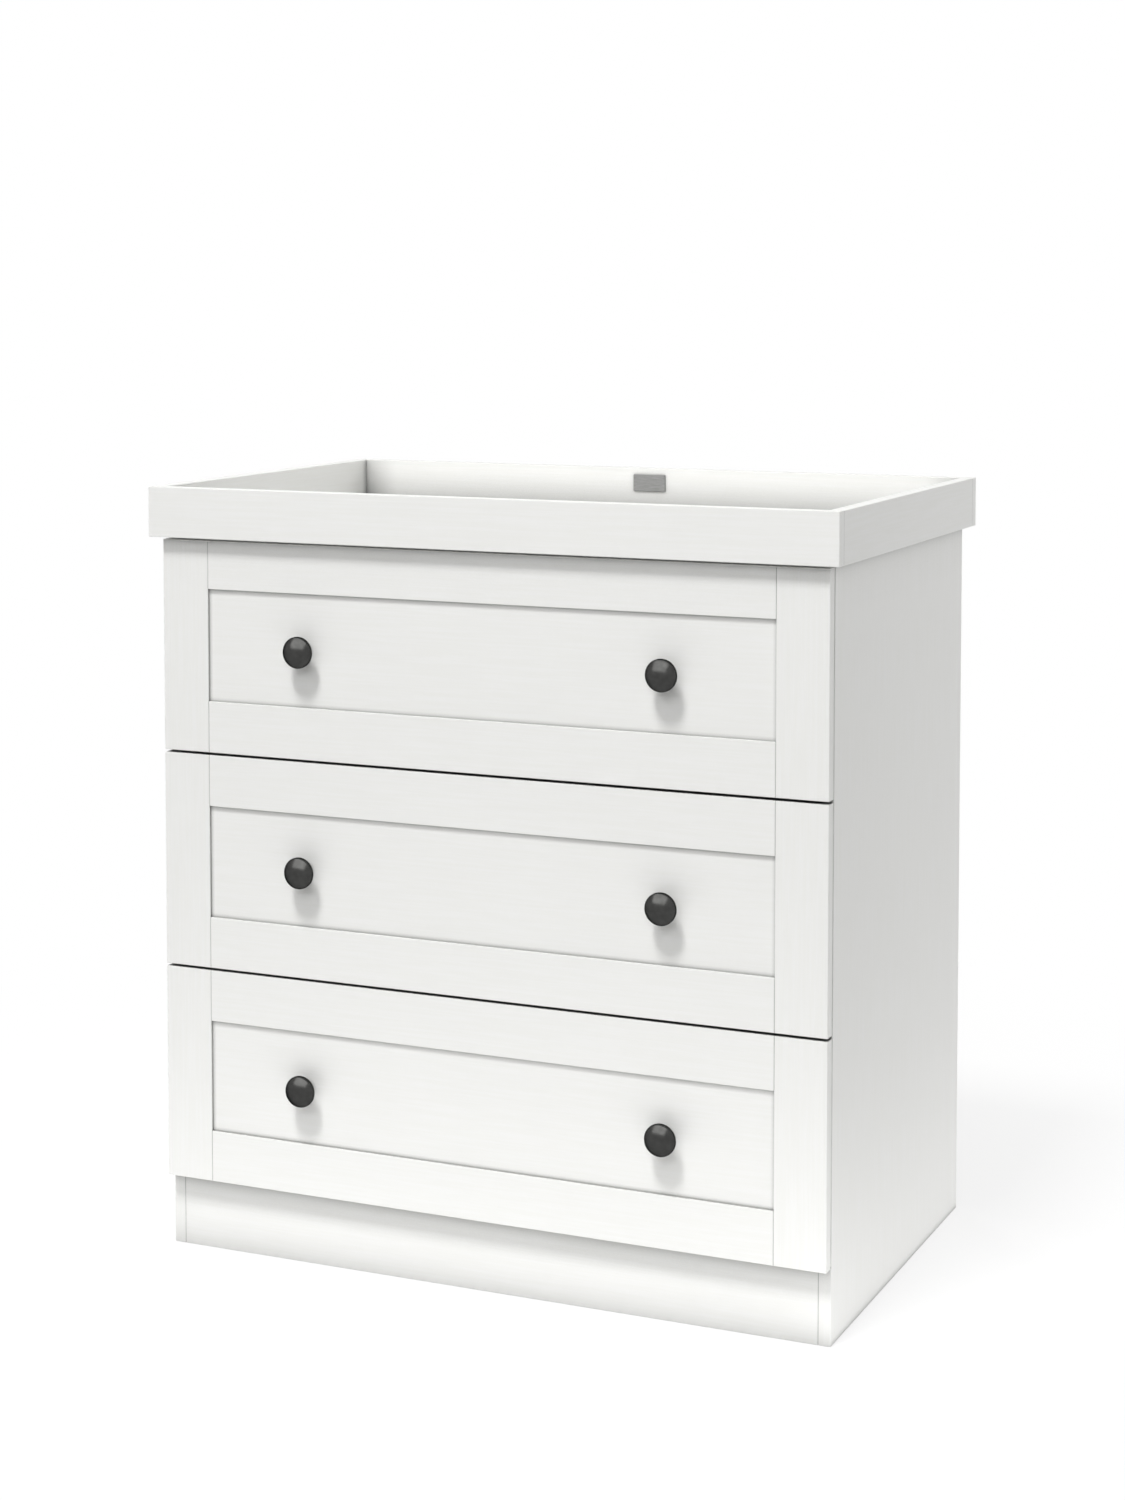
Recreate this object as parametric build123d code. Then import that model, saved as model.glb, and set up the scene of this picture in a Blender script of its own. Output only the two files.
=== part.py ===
from build123d import *
import os
from math import sqrt

# A three-drawer nursery dresser with a lift-off changer tray on its top.
# Millimetres. X to the right, the drawers open towards -Y, Z up.
# The origin is on the floor, at the middle of the whole object's box.

# Carcass
board_t = 15.0              # carcass boards
carcass_w = 852.0           # over the side panels
carcass_d = 510.5           # side panels, front edge to back edge
plinth_h = 92.0
back_t = 3.0
back_inset = 6.0            # back panel behind the carcass's rear edges
back_groove = 6.0           # depth of the groove for the back panel
rear_rail_h = 80.0
wall_hole_r = 3.0
wall_hole_spacing = 600.0
rear_rail_housing = 5.0     # rear rail's ends let into the side panels
edge_ease = 0.6             # chamfer on the arrises of the lacquered boards

# Drawer fronts
front_w = 850.6
front_t = 15.0
front_h = 261.6
top_front_trim = 3.8        # taken off the top front to clear the tray
front_floor_gap = 88.8
front_gap = 3.1             # between two fronts
tray_gap = 3.0              # between the top front and the tray
front_standoff = 0.5        # behind a closed front
stile_w = 62.4
rail_w = 62.6
recess = 3.2                # panel behind the face of its frame
panel_t = 6.0
panel_groove = 8.0

# Drawer boxes
box_t = 12.0
box_h = 180.0
box_rear_gap = 47.0         # box to the back panel
box_lift = 30.0             # front's lower edge to the box's lower edge
box_bottom_t = 4.0
box_bottom_lift = 8.0       # box's lower edge to its bottom board
box_groove = 5.0
box_housing = 4.0           # depth of the corner housings

# Knobs
knob_r = 19.0
knob_len = 28.0
knob_x = 232.0
knob_foot_r = 9.0
knob_neck_r = 7.0
knob_head_r = 15.0          # where the flared neck meets the head's underside
knob_rim_t = 5.0
knob_rim_ease = 1.8
knob_dome_h = 8.0
knob_thread_r = 2.0
knob_thread_depth = 14.0
knob_thread_clear = 0.1

# Roller runners, measured inwards from the inner face of a side panel
runner_setback = 2.5        # behind the side panel's front edge
runner_end_gap = 2.0        # rails' rear ends in front of the box's
runner_space = 12.5         # side panel to drawer box
runner_side_gap = 1.0       # cabinet rail's flanges to the drawer rail
steel_t = 1.2
drawer_travel = 330.0
roller_r = 9.0
roller_t = 6.0
roller_gap = 0.3            # roller to the face that it rolls on
roller_side_gap = 0.2
roller_lift = 1.5           # front roller above the cabinet rail's lower flange
roller_inset = 14.0         # roller axis to its rail's end
pin_r = 2.5
pin_head_r = 4.0
pin_head_t = 0.8
pin_clear = 0.05
stop_tab_h = 6.0
stop_tab_w = 5.0

# Tray
tray_w = 878.0
tray_d = 552.0
tray_wall_h = 61.0
tray_wall_t = 16.0
tray_base_t = 6.0
tray_rebate = 6.0
tray_front_over = 10.8      # tray in front of the drawer fronts
badge_w = 45.0
badge_h = 22.0
badge_t = 2.0
badge_corner_r = 2.0
badge_drop = 8.4            # tray rim to the plate

# Fittings
cam_r = 7.5
cam_skin = 3.0              # board left above a cam
cam_end_distance = 24.0     # board end to the cam's axis
cam_bolt_r = 3.0
cam_bolt_depth = 9.0        # bolt in the side panel
cam_edge_distance = 60.0
dowel_r = 4.0
dowel_len = 30.0
dowel_depth = 10.0          # dowel in the side panel
dowel_edge_distance = 20.0
peg_proud = 3.5
peg_depth = 10.0
peg_side_distance = 71.0
peg_edge_distance = 70.0
peg_clear = 0.3             # peg in the lift-off tray
screw_head_r = 3.75
screw_head_t = 2.0
hole_clear = 0.15           # round a screw, cam, bolt or dowel
groove_clear = 0.1          # each side of a board in its groove
end_clear = 0.5             # end of a board or fitting in its groove or hole

# Places that follow from the sizes above
top_front_h = front_h - top_front_trim
carcass_h = front_floor_gap + 2 * (front_h + front_gap) + top_front_h + tray_gap
total_h = carcass_h + tray_wall_h
nose = max(knob_len - recess, tray_front_over)
front_y = (nose + tray_front_over - tray_d) / 2
front_back_y = front_y + front_t
side_y0 = front_back_y + front_standoff
side_y1 = side_y0 + carcass_d
inner_x = carcass_w / 2 - board_t
peg_x = inner_x - peg_side_distance
cam_t = board_t - cam_skin
top_z0 = carcass_h - board_t
back_y1 = side_y1 - back_inset
back_y0 = back_y1 - back_t
bottom_z0 = plinth_h - board_t
rear_rail_z0 = top_z0 - rear_rail_h
tray_y0 = front_y - tray_front_over
tray_y1 = tray_y0 + tray_d
tray_floor_z = carcass_h + tray_base_t
stile_x0 = front_w / 2 - stile_w
box_x1 = inner_x - runner_space
box_x0 = box_x1 - box_t
box_y1 = back_y0 - box_rear_gap
rail_y0 = side_y0 + runner_setback
rail_y1 = box_y1 - runner_end_gap
runner_flange = runner_space - steel_t - runner_side_gap
runner_h = 3 * steel_t + roller_lift + 2 * roller_r + 2 * roller_gap
front_roller_y = rail_y0 + roller_inset
rear_roller_y = rail_y1 - roller_inset

# Each drawer: name, its front's lower edge and its front's height
drawers = [
    ("bottom_drawer", front_floor_gap, front_h),
    ("middle_drawer", front_floor_gap + front_h + front_gap, front_h),
    ("top_drawer", front_floor_gap + 2 * (front_h + front_gap), top_front_h),
]
nodes = {}


def block(x0, x1, y0, y1, z0, z1):
    """A rectangular board between two corners."""
    return Pos((x0 + x1) / 2, (y0 + y1) / 2, (z0 + z1) / 2) * Box(x1 - x0, y1 - y0, z1 - z0)


def eased(*corners):
    """A board with a small chamfer on every arris."""
    board = block(*corners)
    return chamfer(board.edges(), edge_ease)


def rod(axis, radius, start, end, *centre):
    """A round bar along X, Y or Z from start to end, centred on the other two coordinates."""
    bar = Cylinder(radius, abs(end - start))
    middle = (start + end) / 2
    if axis == "x":
        return Pos(middle, *centre) * Rot(0, 90, 0) * bar
    if axis == "y":
        return Pos(centre[0], middle, centre[1]) * Rot(90, 0, 0) * bar
    return Pos(*centre, middle) * bar


def both_sides(shapes):
    """The shapes and their mirror images on the left."""
    return shapes + [mirror(shape, about=Plane.YZ) for shape in shapes]


def box_z(front_z):
    """Lower edge of the drawer box behind a front."""
    return front_z + box_lift


def runner_z(front_z):
    """Underside of the runner rails of the drawer behind a front."""
    return box_z(front_z) - steel_t


def knob_z(front_z):
    """Height of the knobs: the middle of the recessed panel."""
    return front_z + front_h / 2


# Where the boards between the side panels are joined to them: board height and depth of each fitting
board_depths = [side_y0 + board_t + cam_edge_distance, back_y0 - cam_edge_distance]
cam_places = []
for cam_y in board_depths:
    cam_places.append((cam_y, top_z0, carcass_h))
    cam_places.append((cam_y, bottom_z0, plinth_h))
dowel_y = side_y0 + board_t / 2
dowel_places = [(dowel_y, dowel_edge_distance), (dowel_y, plinth_h - dowel_edge_distance)]
peg_places = []
for peg_y in (side_y0 + peg_edge_distance, side_y1 - peg_edge_distance):
    peg_places += [(-peg_x, peg_y), (peg_x, peg_y)]


def fitting_cuts():
    """Right-hand holes for cams, bolts and dowels, cut from every board that they pass."""
    cuts = []
    for y, z0, z1 in cam_places:
        cam_x = inner_x - cam_end_distance
        bolt_end = inner_x + cam_bolt_depth + end_clear
        cuts.append(rod("z", cam_r + hole_clear, z0, z0 + cam_t + end_clear, cam_x, y))
        cuts.append(rod("x", cam_bolt_r + hole_clear, cam_x, bolt_end, y, (z0 + z1) / 2))
    for y, z in dowel_places:
        inner_end = inner_x + dowel_depth - dowel_len - end_clear
        cuts.append(rod("x", dowel_r + hole_clear, inner_end, inner_x + dowel_depth + end_clear, y, z))
    return cuts


def carcass_boards():
    """Side panels, top, bottom, plinth, rear rail and back panel."""
    right_cuts = fitting_cuts()
    slot_y0 = back_y0 - groove_clear
    slot_y1 = back_y1 + groove_clear
    rail_y = side_y1 - board_t
    housed_x = inner_x + rear_rail_housing
    side = eased(inner_x, inner_x + board_t, side_y0, side_y1, 0, carcass_h) - right_cuts
    side -= block(inner_x, inner_x + back_groove, slot_y0, slot_y1, 0, carcass_h)
    side -= block(inner_x, housed_x, rail_y, side_y1, rear_rail_z0, top_z0)
    nodes["right_side_panel"] = side
    nodes["left_side_panel"] = mirror(side, about=Plane.YZ)

    cuts = both_sides(right_cuts)
    top = eased(-inner_x, inner_x, side_y0, side_y1, top_z0, carcass_h) - cuts
    for place in peg_places:
        top -= rod("z", dowel_r + hole_clear, carcass_h - peg_depth - end_clear, carcass_h, *place)
    nodes["top_panel"] = top
    nodes["bottom_panel"] = eased(-inner_x, inner_x, side_y0 + board_t, back_y0, bottom_z0, plinth_h) - cuts
    nodes["plinth_board"] = eased(-inner_x, inner_x, side_y0, side_y0 + board_t, 0, plinth_h) - cuts

    rail = block(-housed_x, housed_x, rail_y, side_y1, rear_rail_z0, top_z0)
    rail -= block(-housed_x, housed_x, slot_y0, slot_y1, rear_rail_z0, rear_rail_z0 + back_groove)
    for x in (-wall_hole_spacing / 2, wall_hole_spacing / 2):
        rail -= rod("y", wall_hole_r, rail_y, side_y1, x, (rear_rail_z0 + top_z0) / 2)
    nodes["rear_top_rail"] = rail

    back_x = inner_x + back_groove - end_clear
    back_z1 = rear_rail_z0 + back_groove - end_clear
    nodes["back_panel"] = block(-back_x, back_x, back_y0, back_y1, bottom_z0, back_z1)


def carcass_fittings():
    """Cams with their bolts, dowels and locating pegs."""
    cams = []
    for y, z0, z1 in cam_places:
        cam_x = inner_x - cam_end_distance
        cams.append(rod("z", cam_r, z0, z0 + cam_t, cam_x, y))
        bolt_x0 = cam_x + cam_r + groove_clear
        cams.append(rod("x", cam_bolt_r, bolt_x0, inner_x + cam_bolt_depth, y, (z0 + z1) / 2))
    nodes["cam_fittings"] = Compound(both_sides(cams))

    dowel_x1 = inner_x + dowel_depth
    dowels = [rod("x", dowel_r, dowel_x1 - dowel_len, dowel_x1, *place) for place in dowel_places]
    nodes["plinth_dowels"] = Compound(both_sides(dowels))

    pegs = []
    for place in peg_places:
        pegs.append(rod("z", dowel_r, carcass_h - peg_depth, carcass_h + peg_proud, *place))
    nodes["locating_pegs"] = Compound(pegs)


def front_roller_z(front_z):
    """Axis of a front roller, which carries the drawer rail's running flange."""
    return runner_z(front_z) + runner_h - 2 * steel_t - 2 * roller_gap - roller_r


def rear_roller_z(front_z):
    """Axis of a rear roller, which rolls on the cabinet rail's lower flange."""
    return runner_z(front_z) + steel_t + roller_gap + roller_r


def roller(inner, y, z):
    """A nylon roller on the right-hand runner, its inner face at the given distance from the side panel."""
    x1 = inner_x - inner
    wheel = rod("x", roller_r, x1 - roller_t, x1, y, z)
    return wheel - rod("x", pin_r + pin_clear, x1 - roller_t, x1, y, z)


front_roller_u = steel_t + pin_head_t + roller_side_gap
rear_roller_u = runner_space - steel_t - pin_head_t - roller_side_gap - roller_t


def cabinet_rail(front_z):
    """Right-hand cabinet rail: a C section with the front roller's pin and the stop for the rear roller."""
    z0 = runner_z(front_z)
    rail = block(inner_x - runner_flange, inner_x, rail_y0, rail_y1, z0, z0 + runner_h)
    channel_z1 = z0 + runner_h - steel_t
    rail -= block(inner_x - runner_flange, inner_x - steel_t, rail_y0, rail_y1, z0 + steel_t, channel_z1)
    pin_z = front_roller_z(front_z)
    pin_end = front_roller_u + roller_t + roller_side_gap
    rail += rod("x", pin_r, inner_x - steel_t, inner_x - pin_end, front_roller_y, pin_z)
    rail += rod("x", pin_head_r, inner_x - pin_end, inner_x - pin_end - pin_head_t, front_roller_y, pin_z)
    tab_top = z0 + steel_t + stop_tab_h
    roller_reach = sqrt(roller_r**2 - (rear_roller_z(front_z) - tab_top) ** 2)
    tab_y1 = rear_roller_y - drawer_travel - roller_reach - roller_gap
    tab_x1 = inner_x - rear_roller_u
    rail += block(tab_x1 - stop_tab_w, tab_x1, tab_y1 - steel_t, tab_y1, z0 + steel_t, tab_top)
    return rail


def drawer_rail(front_z):
    """Right-hand drawer rail: a Z section under the box side, with the rear roller's pin."""
    z0 = runner_z(front_z)
    web_x0 = inner_x - runner_space
    web_x1 = web_x0 + steel_t
    flange_z1 = z0 + runner_h - steel_t - roller_gap
    flange_x1 = inner_x - front_roller_u
    rail = block(web_x0, web_x1, rail_y0, rail_y1, z0, flange_z1)
    rail += block(box_x0, web_x1, rail_y0, rail_y1, z0, z0 + steel_t)
    rail += block(web_x0, flange_x1, rail_y0, rail_y1, flange_z1 - steel_t, flange_z1)
    pin_z = rear_roller_z(front_z)
    pin_x = inner_x - rear_roller_u + roller_side_gap
    rail += rod("x", pin_r, web_x1, pin_x, rear_roller_y, pin_z)
    rail += rod("x", pin_head_r, pin_x, pin_x + pin_head_t, rear_roller_y, pin_z)
    return rail


def runners():
    """Rails and rollers of all three drawers."""
    cabinet = []
    for name, front_z, _ in drawers:
        cabinet.append(cabinet_rail(front_z))
        nodes[name + "_runners"] = Compound(both_sides([drawer_rail(front_z)]))
        front = roller(front_roller_u, front_roller_y, front_roller_z(front_z))
        rear = roller(rear_roller_u, rear_roller_y, rear_roller_z(front_z))
        nodes[name + "_front_rollers"] = Compound(both_sides([front]))
        nodes[name + "_rear_rollers"] = Compound(both_sides([rear]))
    nodes["cabinet_runners"] = Compound(both_sides(cabinet))


def drawer_front(name, front_z, height):
    """Five-piece shaker front: stiles, rails with stub tenons, and a panel in their grooves."""
    z1 = front_z + height
    opening_z0 = front_z + rail_w
    opening_z1 = front_z + front_h - rail_w
    groove_y0 = front_y + recess - groove_clear
    groove_y1 = front_y + recess + panel_t + groove_clear

    stile = eased(stile_x0, front_w / 2, front_y, front_back_y, front_z, z1)
    stile -= block(stile_x0, stile_x0 + panel_groove, groove_y0, groove_y1, front_z, z1)
    nodes[name + "_right_stile"] = stile
    nodes[name + "_left_stile"] = mirror(stile, about=Plane.YZ)

    tenon_x = stile_x0 + panel_groove - end_clear
    panel_grooves = block(
        -stile_x0, stile_x0, groove_y0, groove_y1, opening_z0 - panel_groove, opening_z1 + panel_groove
    )
    for rail_name, rail_z0, rail_z1, tenon_z0, tenon_z1 in [
        ("_bottom_rail", front_z, opening_z0, front_z + edge_ease, opening_z0 - panel_groove),
        ("_top_rail", opening_z1, z1, opening_z1 + panel_groove, z1 - edge_ease),
    ]:
        rail = eased(-stile_x0, stile_x0, front_y, front_back_y, rail_z0, rail_z1)
        rail += block(-tenon_x, tenon_x, front_y + recess, front_y + recess + panel_t, tenon_z0, tenon_z1)
        nodes[name + rail_name] = rail - panel_grooves

    panel_x = stile_x0 + panel_groove - end_clear
    panel_z0 = opening_z0 - panel_groove + end_clear
    panel_z1 = opening_z1 + panel_groove - end_clear
    panel_y0 = front_y + recess
    panel_y1 = panel_y0 + panel_t
    panel = block(-panel_x, panel_x, panel_y0, panel_y1, panel_z0, panel_z1)
    for x in (-knob_x, knob_x):
        panel -= rod("y", knob_thread_r + hole_clear, panel_y0, panel_y1, x, knob_z(front_z))
    nodes[name + "_front_panel"] = panel


def drawer_box(name, front_z):
    """Sides with corner housings, front, back and a bottom board that slides in under the back."""
    z0 = box_z(front_z)
    z1 = z0 + box_h
    bottom_z = z0 + box_bottom_lift
    bottom_top = bottom_z + box_bottom_t
    inside_y0 = front_back_y + box_t
    housing_x = box_x0 + box_housing
    groove_x = box_x0 + box_groove
    slot_y0 = inside_y0 - box_groove
    slot = block(-groove_x, groove_x, slot_y0, box_y1, bottom_z - groove_clear, bottom_top + groove_clear)

    side = block(box_x0, box_x1, front_back_y, box_y1, z0, z1) - slot
    side -= block(box_x0, housing_x, front_back_y, inside_y0, z0, z1)
    side -= block(box_x0, housing_x, box_y1 - box_t, box_y1, bottom_z, z1)
    nodes[name + "_box_sides"] = Compound(both_sides([side]))

    box_front = block(-housing_x, housing_x, front_back_y, inside_y0, z0, z1) - slot
    for x in (-knob_x, knob_x):
        box_front -= rod("y", knob_thread_r + hole_clear, front_back_y, inside_y0, x, knob_z(front_z))
    nodes[name + "_box_front"] = box_front
    nodes[name + "_box_back"] = block(-housing_x, housing_x, box_y1 - box_t, box_y1, bottom_top, z1)
    bottom_x = groove_x - end_clear
    bottom_y0 = slot_y0 + end_clear
    nodes[name + "_box_bottom"] = block(-bottom_x, bottom_x, bottom_y0, box_y1, bottom_z, bottom_top)


def knob(x, z):
    """Mushroom knob turned about its own axis: foot, waisted neck, eased rim and dome."""
    rim_z0 = knob_len - knob_dome_h - knob_rim_t
    rim_z1 = rim_z0 + knob_rim_t
    dome_r = (knob_r**2 + knob_dome_h**2) / (2 * knob_dome_h)
    with BuildPart() as turned:
        with BuildSketch(Plane.XY):
            with BuildLine():
                stem = Polyline((0, 0), (knob_foot_r, 0), (knob_neck_r, rim_z0 / 2), (knob_head_r, rim_z0))
                ease = Polyline(stem @ 1, (knob_r - knob_rim_ease, rim_z0), (knob_r, rim_z0 + knob_rim_ease))
                rim = Line(ease @ 1, (knob_r, rim_z1))
                dome = RadiusArc(rim @ 1, (0, knob_len), -dome_r)
                Line(dome @ 1, (0, 0))
            make_face()
        revolve(axis=Axis.Y)
    body = turned.part - rod("y", knob_thread_r + knob_thread_clear, 0, knob_thread_depth, 0, 0)
    return Pos(x, front_y + recess, z) * Rot(0, 0, 180) * body


def drawer_hardware(name, front_z):
    """Knobs, and the screws that reach them through the box front and the panel."""
    z = knob_z(front_z)
    head_y0 = front_back_y + box_t
    tip_y = front_y + recess - knob_thread_depth + end_clear
    knobs = []
    screws = []
    for x in (-knob_x, knob_x):
        knobs.append(knob(x, z))
        shank = rod("y", knob_thread_r, tip_y, head_y0, x, z)
        screws.append(shank + rod("y", screw_head_r, head_y0, head_y0 + screw_head_t, x, z))
    nodes[name + "_knobs"] = Compound(knobs)
    nodes[name + "_knob_screws"] = Compound(screws)


def tray():
    """Lift-off changer tray: four walls rebated round a base board, and the bare metal plate."""
    x1 = tray_w / 2
    base_x = x1 - tray_wall_t + tray_rebate
    base_y0 = tray_y0 + tray_wall_t - tray_rebate
    base_y1 = tray_y1 - tray_wall_t + tray_rebate
    seat = block(-base_x, base_x, base_y0, base_y1, carcass_h, tray_floor_z)
    base = seat
    for place in peg_places:
        base -= rod("z", dowel_r + peg_clear, carcass_h, carcass_h + peg_proud + end_clear, *place)
    nodes["tray_base"] = base
    nodes["tray_front_wall"] = eased(-x1, x1, tray_y0, tray_y0 + tray_wall_t, carcass_h, total_h) - seat
    nodes["tray_back_wall"] = eased(-x1, x1, tray_y1 - tray_wall_t, tray_y1, carcass_h, total_h) - seat
    wall_y0 = tray_y0 + tray_wall_t
    wall_y1 = tray_y1 - tray_wall_t
    wall = eased(x1 - tray_wall_t, x1, wall_y0, wall_y1, carcass_h, total_h) - seat
    nodes["tray_right_wall"] = wall
    nodes["tray_left_wall"] = mirror(wall, about=Plane.YZ)

    plate_y1 = tray_y1 - tray_wall_t
    plate_z1 = total_h - badge_drop
    plate = block(-badge_w / 2, badge_w / 2, plate_y1 - badge_t, plate_y1, plate_z1 - badge_h, plate_z1)
    nodes["badge_plate"] = fillet(plate.edges().filter_by(Axis.Y), badge_corner_r)


carcass_boards()
carcass_fittings()
runners()
for drawer_name, drawer_z, drawer_height in drawers:
    drawer_front(drawer_name, drawer_z, drawer_height)
    drawer_box(drawer_name, drawer_z)
    drawer_hardware(drawer_name, drawer_z)
tray()

os.makedirs("parts", exist_ok=True)
for node_name, shape in nodes.items():
    export_step(shape, "parts/" + node_name + ".step")
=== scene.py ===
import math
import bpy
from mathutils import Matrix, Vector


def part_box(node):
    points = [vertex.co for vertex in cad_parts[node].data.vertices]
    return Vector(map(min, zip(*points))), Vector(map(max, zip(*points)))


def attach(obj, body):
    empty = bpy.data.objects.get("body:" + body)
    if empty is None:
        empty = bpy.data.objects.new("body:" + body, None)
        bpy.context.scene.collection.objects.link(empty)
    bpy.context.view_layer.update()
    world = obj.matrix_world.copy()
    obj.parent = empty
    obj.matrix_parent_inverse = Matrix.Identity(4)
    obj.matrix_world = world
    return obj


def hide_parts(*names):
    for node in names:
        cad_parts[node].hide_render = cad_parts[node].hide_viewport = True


bl_info = {
    "name": "Changing Table",
    "version": (1, 0, 0),
    "blender": (4, 5, 0),
    "location": "View3D > Sidebar > Changing Table",
    "description": "Finishes, fittings and studio stage for a changing table with a lift-off tray",
    "category": "Object",
}

import bmesh
import bpy
from bpy.props import FloatProperty, FloatVectorProperty, IntProperty, PointerProperty
from bpy.types import Operator, Panel, PropertyGroup
from mathutils import Matrix, Vector

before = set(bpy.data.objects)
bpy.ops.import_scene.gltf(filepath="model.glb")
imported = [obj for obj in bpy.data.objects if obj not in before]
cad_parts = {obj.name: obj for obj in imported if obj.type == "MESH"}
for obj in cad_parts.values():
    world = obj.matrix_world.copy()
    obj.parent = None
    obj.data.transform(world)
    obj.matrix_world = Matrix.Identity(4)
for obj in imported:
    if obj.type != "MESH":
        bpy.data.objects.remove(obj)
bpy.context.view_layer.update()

DRAWERS = ("bottom_drawer", "middle_drawer", "top_drawer")
MM = 0.001
# Points nearer to each other than this are merged.
MERGED = 0.001 * MM
# Heights nearer to each other than this count as one.
TOUCH = 0.01 * MM
# A face whose normal rises by more than this looks up.
UPWARD = 0.99
# Edges of small fittings that turn by more than this are rounded.
EASED_ANGLE = math.radians(40)
# Edges that turn by more than this stay crisp in the shading.
CREASE_ANGLE = math.radians(50)
# Share of a screw head's radius that is left round its recess.
RECESS_MARGIN = 0.2
# Grain and brush lines are drawn out to about 33 times their width.
DRAWN_OUT = 0.03
GRAIN_STRETCH = {
    "x": (DRAWN_OUT, 1.0, 1.0),
    "y": (1.0, DRAWN_OUT, 1.0),
    "z": (1.0, 1.0, DRAWN_OUT),
}


def linear(code):
    """Linear RGBA from an sRGB hex code."""
    channels = [int(code[i : i + 2], 16) / 255 for i in (0, 2, 4)]
    curved = [c / 12.92 if c <= 0.04045 else ((c + 0.055) / 1.055) ** 2.4 for c in channels]
    return (*curved, 1.0)


def per_metre(size_mm):
    """Texture scale at which one feature is about this many millimetres wide."""
    return 1000.0 / size_mm


def colour(label, code, description):
    """A colour property from an sRGB hex code."""
    return FloatVectorProperty(
        name=label,
        description=description,
        subtype="COLOR",
        size=4,
        min=0.0,
        max=1.0,
        default=linear(code),
    )


def length(label, size_mm, description):
    """A length property given in millimetres and kept in metres."""
    return FloatProperty(
        name=label, description=description, unit="LENGTH", min=0.0, default=size_mm * MM
    )


def lamp_power(label, watts, description):
    """A property for the power of a lamp."""
    return FloatProperty(
        name=label, description=description, unit="POWER", min=0.0, default=watts
    )


class ChangingTableFinishes(PropertyGroup):
    """Colours of the finishes."""

    lacquer: colour("Lacquer", "F3F3F1", "Satin lacquer on the carcass, fronts and tray")
    lacquer_grain: colour("Lacquer grain", "F1F1EE", "Faint grain that shows through the lacquer")
    melamine: colour("Melamine", "EDEDEA", "Melamine face of the drawer box boards")
    melamine_speck: colour("Melamine speck", "E6E6E2", "Low spots in the melamine's pebbled face")
    hardboard: colour("Hardboard", "EAE9E5", "White face of the back and the drawer bottoms")
    hardboard_fibre: colour("Hardboard fibre", "DCDAD3", "Fibres that show in the white face")
    gunmetal: colour("Gunmetal", "464645", "Dark metal of the knobs")
    gunmetal_low: colour("Gunmetal, dull", "3F3F3E", "Duller clouds in the knobs' metal")
    gunmetal_edge: colour("Gunmetal, edge", "8A8B8D", "Tint of the knobs' gloss at their edges")
    coating: colour("Runner coating", "E9E8E4", "Epoxy coating on the runner rails")
    coating_low: colour("Runner coating, low", "DDDCD7", "Low spots in the coating")
    nylon: colour("Nylon", "E4E2DA", "Moulded nylon of the rollers")
    nylon_cloud: colour("Nylon cloud", "D9D6CC", "Cloudy flow marks in the nylon")
    zinc: colour("Zinc", "C3C5C6", "Zinc plating on screws and cams")
    zinc_spangle: colour("Zinc spangle", "A7A9A8", "Duller patches in the plating")
    beech: colour("Beech", "D8B48A", "Pale wood of the pegs and dowels")
    beech_late: colour("Beech, late wood", "BD9165", "Darker growth lines and flecks")
    badge: colour("Badge metal", "979796", "Brushed metal plate on the tray")
    badge_scratch: colour("Badge brush line", "838382", "Darker brush lines on the plate")


class ChangingTableKnobs(PropertyGroup):
    """Sizes of the turned knobs."""

    foot_radius: length("Foot radius", 9.0, "Where the knob meets the drawer front")
    waist_radius: length("Waist radius", 7.0, "Narrowest part of the neck")
    collar_radius: length("Collar radius", 15.0, "Where the neck flares into the head")
    rim_height: length("Rim height", 5.0, "Straight edge round the head")
    dome_height: length("Dome height", 8.0, "Crown of the head above its rim")
    waist_ease: length("Waist rounding", 2.6, "Rounding of the waist and the collar")
    rim_ease: length("Rim rounding", 1.5, "Rounding of the head's edges")
    steps: IntProperty(
        name="Turning steps", description="Facets round the knob", min=24, max=128, default=72
    )


class ChangingTableFittings(PropertyGroup):
    """Sizes of the small fittings."""

    screw_head_radius: length("Screw head radius", 3.75, "Pan heads of the screws")
    runner_head_height: length("Runner screw head", 1.3, "Height of the runner screws' heads")
    recess_arm: length("Recess arm", 0.55, "Half the width of a cross recess's arms")
    recess_depth: length("Recess depth", 0.9, "Depth of a cross recess")
    roller_width: length("Roller width", 6.0, "Nylon roller from face to face")
    roller_bore: length("Roller bore radius", 2.55, "Hole for the roller's pin")
    roller_hub: length("Roller hub radius", 4.6, "Hub round the bore")
    roller_web_drop: length("Roller web drop", 1.0, "Web set back between hub and rim")
    peg_chamfer: length("Peg chamfer", 0.9, "Eased ends of the pegs")
    steps: IntProperty(
        name="Turning steps", description="Facets round a fitting", min=16, max=96, default=48
    )


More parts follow.
